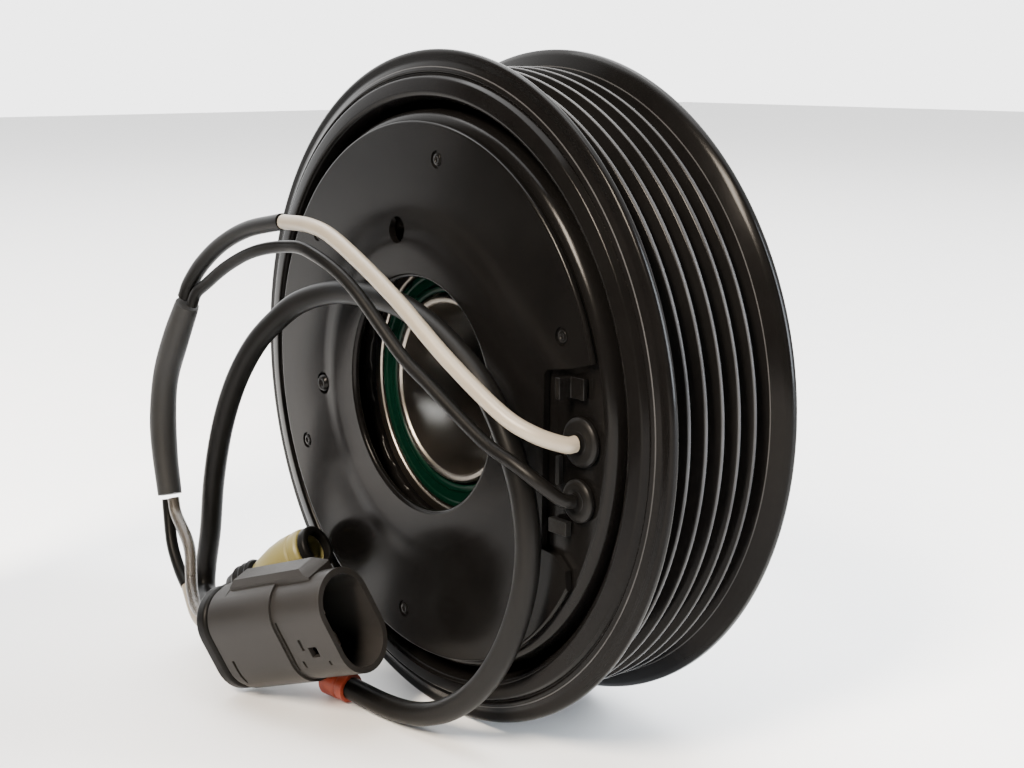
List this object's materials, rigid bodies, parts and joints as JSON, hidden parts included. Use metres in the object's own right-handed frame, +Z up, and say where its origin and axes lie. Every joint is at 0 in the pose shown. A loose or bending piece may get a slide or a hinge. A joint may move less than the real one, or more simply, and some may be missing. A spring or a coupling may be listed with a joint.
{
  "type": "electromagnetic clutch",
  "caption": "Electromagnetic clutch for an air-conditioning compressor: ribbed belt pulley turning on a sealed bearing round a fixed field coil, with coil leads, plug, hub and armature plate.",
  "frame": {"origin": "on the floor, under the middle of the clutch without its cords", "axes": "+Y along the axle from the coil side to the armature side, +Z up, +X to the side where the coil leads leave the plate"},
  "size_m": [0.1218, 0.0683, 0.116],
  "materials": {
    "black_paint": "semi-gloss black",
    "bearing_steel": "ground",
    "armature_steel": "phosphated",
    "seal_green": "satin",
    "copper_wire": "enamelled copper winding",
    "coil_resin": "matte",
    "black_rubber": "matte",
    "grey_plastic": "fine moulded grain",
    "yellow_plastic": "matte",
    "red_plastic": "matte",
    "ivory_wire": "smooth insulation",
    "clear_splice": "translucent sleeve"
  },
  "bodies": {
    "stator": {"coil_shell": "black_paint", "coil_potting": "coil_resin", "coil_winding": "copper_wire", "coil_cover_ring": "coil_resin", "mounting_plate": "black_paint", "anti_rotation_pin": "black_paint", "lead_tab": "black_paint", "grommet_upper": "black_rubber", "grommet_lower": "black_rubber", "lead_post": "coil_resin", "lead_block": "coil_resin", "bearing_inner_ring": "bearing_steel", "lead_white": "ivory_wire", "lead_white_sleeve": "black_rubber", "lead_black": "black_rubber", "splice_heatshrink": "black_rubber", "tail_black": "black_rubber", "tail_white": "ivory_wire", "tail_clear": "clear_splice", "harness_cable": "black_rubber", "plug_housing": "grey_plastic", "plug_rear_seal": "black_rubber", "plug_terminal_1": "bearing_steel", "plug_terminal_2": "bearing_steel", "rear_socket": "yellow_plastic", "rear_socket_band": "black_rubber", "rear_socket_seal": "black_rubber", "cable_collar": "red_plastic"},
    "pulley": {"rotor_pulley": "black_paint", "bearing_outer_ring": "bearing_steel", "seal_rear": "seal_green", "seal_front": "seal_green"},
    "balls": {"ball_row_rear": "bearing_steel", "ball_row_front": "bearing_steel"},
    "hub": {"hub": "black_paint", "hub_rivet_1": "bearing_steel", "hub_rivet_2": "bearing_steel", "hub_rivet_3": "bearing_steel"},
    "armature": {"armature_plate": "armature_steel", "leaf_spring_1": "bearing_steel", "leaf_spring_2": "bearing_steel", "leaf_spring_3": "bearing_steel", "armature_rivet_1": "bearing_steel", "armature_rivet_2": "bearing_steel", "armature_rivet_3": "bearing_steel"}
  },
  "joints": [
    {"name": "pulley_spin", "type": "hinge", "parent": "stator", "child": "pulley", "pos_m": [0, -0.0015, 0.058], "axis": [0, 1, 0], "continuous": true},
    {"name": "cage_spin", "type": "hinge", "parent": "stator", "child": "balls", "pos_m": [0, -0.0015, 0.058], "axis": [0, 1, 0], "continuous": true},
    {"name": "hub_spin", "type": "hinge", "parent": "stator", "child": "hub", "pos_m": [0, -0.0015, 0.058], "axis": [0, 1, 0], "continuous": true},
    {"name": "armature_pull_in", "type": "slide", "parent": "hub", "child": "armature", "axis": [0, -1, 0], "range_m": [0, 0.0004], "stiffness_N_per_m": 8000}
  ],
  "couplings": [
    {"joint": "cage_spin", "follows": "pulley_spin", "ratio": 0.555}
  ]
}
